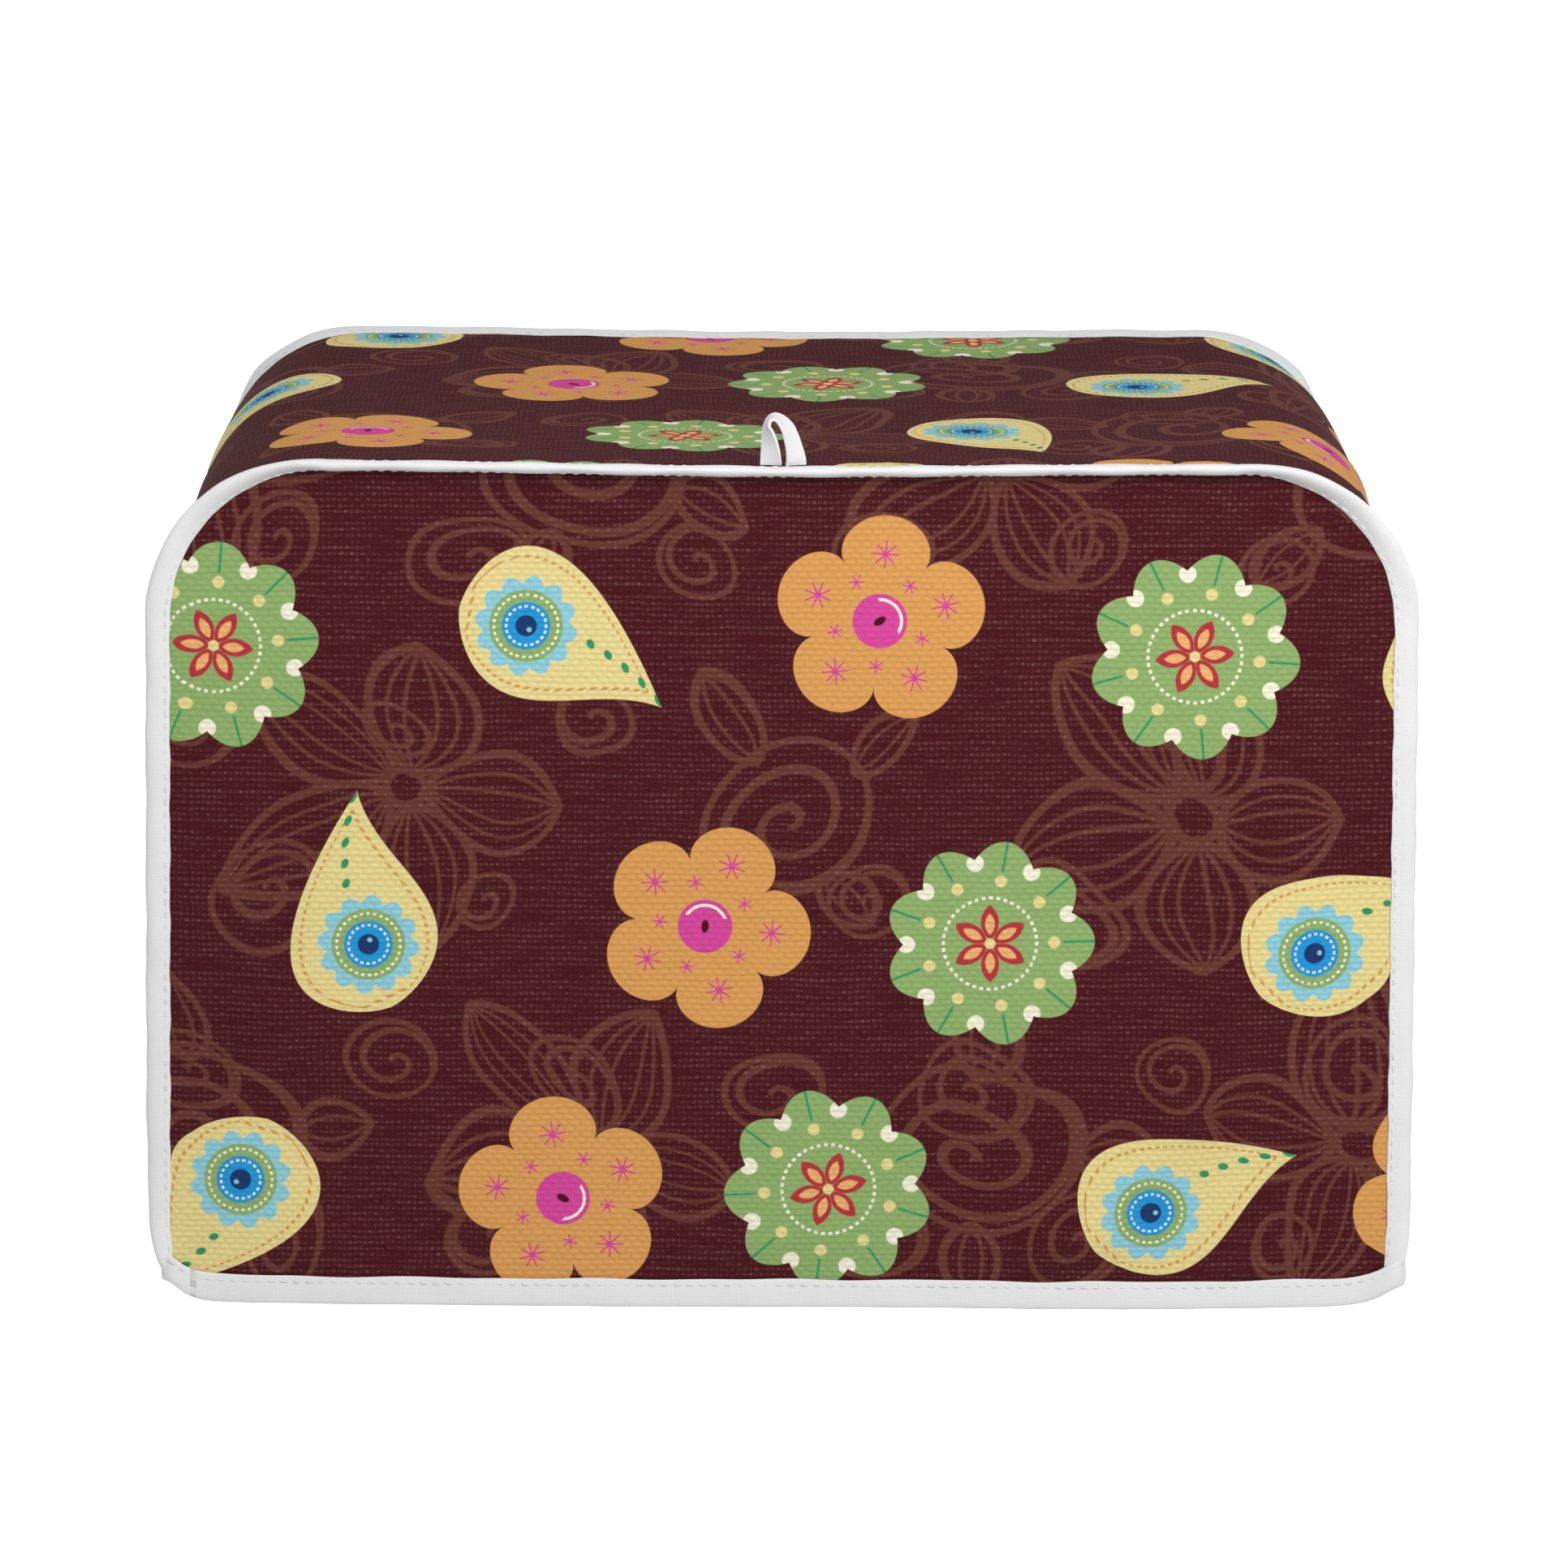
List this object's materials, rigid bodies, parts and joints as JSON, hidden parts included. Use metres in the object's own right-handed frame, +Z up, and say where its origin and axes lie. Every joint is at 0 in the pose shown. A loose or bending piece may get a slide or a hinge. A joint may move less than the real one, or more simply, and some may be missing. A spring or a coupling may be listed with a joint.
{
  "type": "toaster cover",
  "caption": "Fitted boxy cloth cover for a toaster, with rounded top corners, taped seams that stand out as fins, a bound hem and a small hanging loop.",
  "frame": {"origin": "middle of the cover's footprint, on the surface that the hem rests on", "axes": "+X to the right along the width, as seen from the front; +Y to the back; +Z up"},
  "size_m": [0.309, 0.2044, 0.2203],
  "materials": {
    "printed_canvas": "matt woven canvas, printed with motifs on dark red",
    "white_tape": "matt white bias tape"
  },
  "bodies": {
    "root": {"front_panel": "printed_canvas", "back_panel": "printed_canvas", "gusset": "printed_canvas", "front_binding": "white_tape", "back_binding": "white_tape", "hem_binding": "white_tape", "loop": "white_tape"}
  },
  "joints": []
}
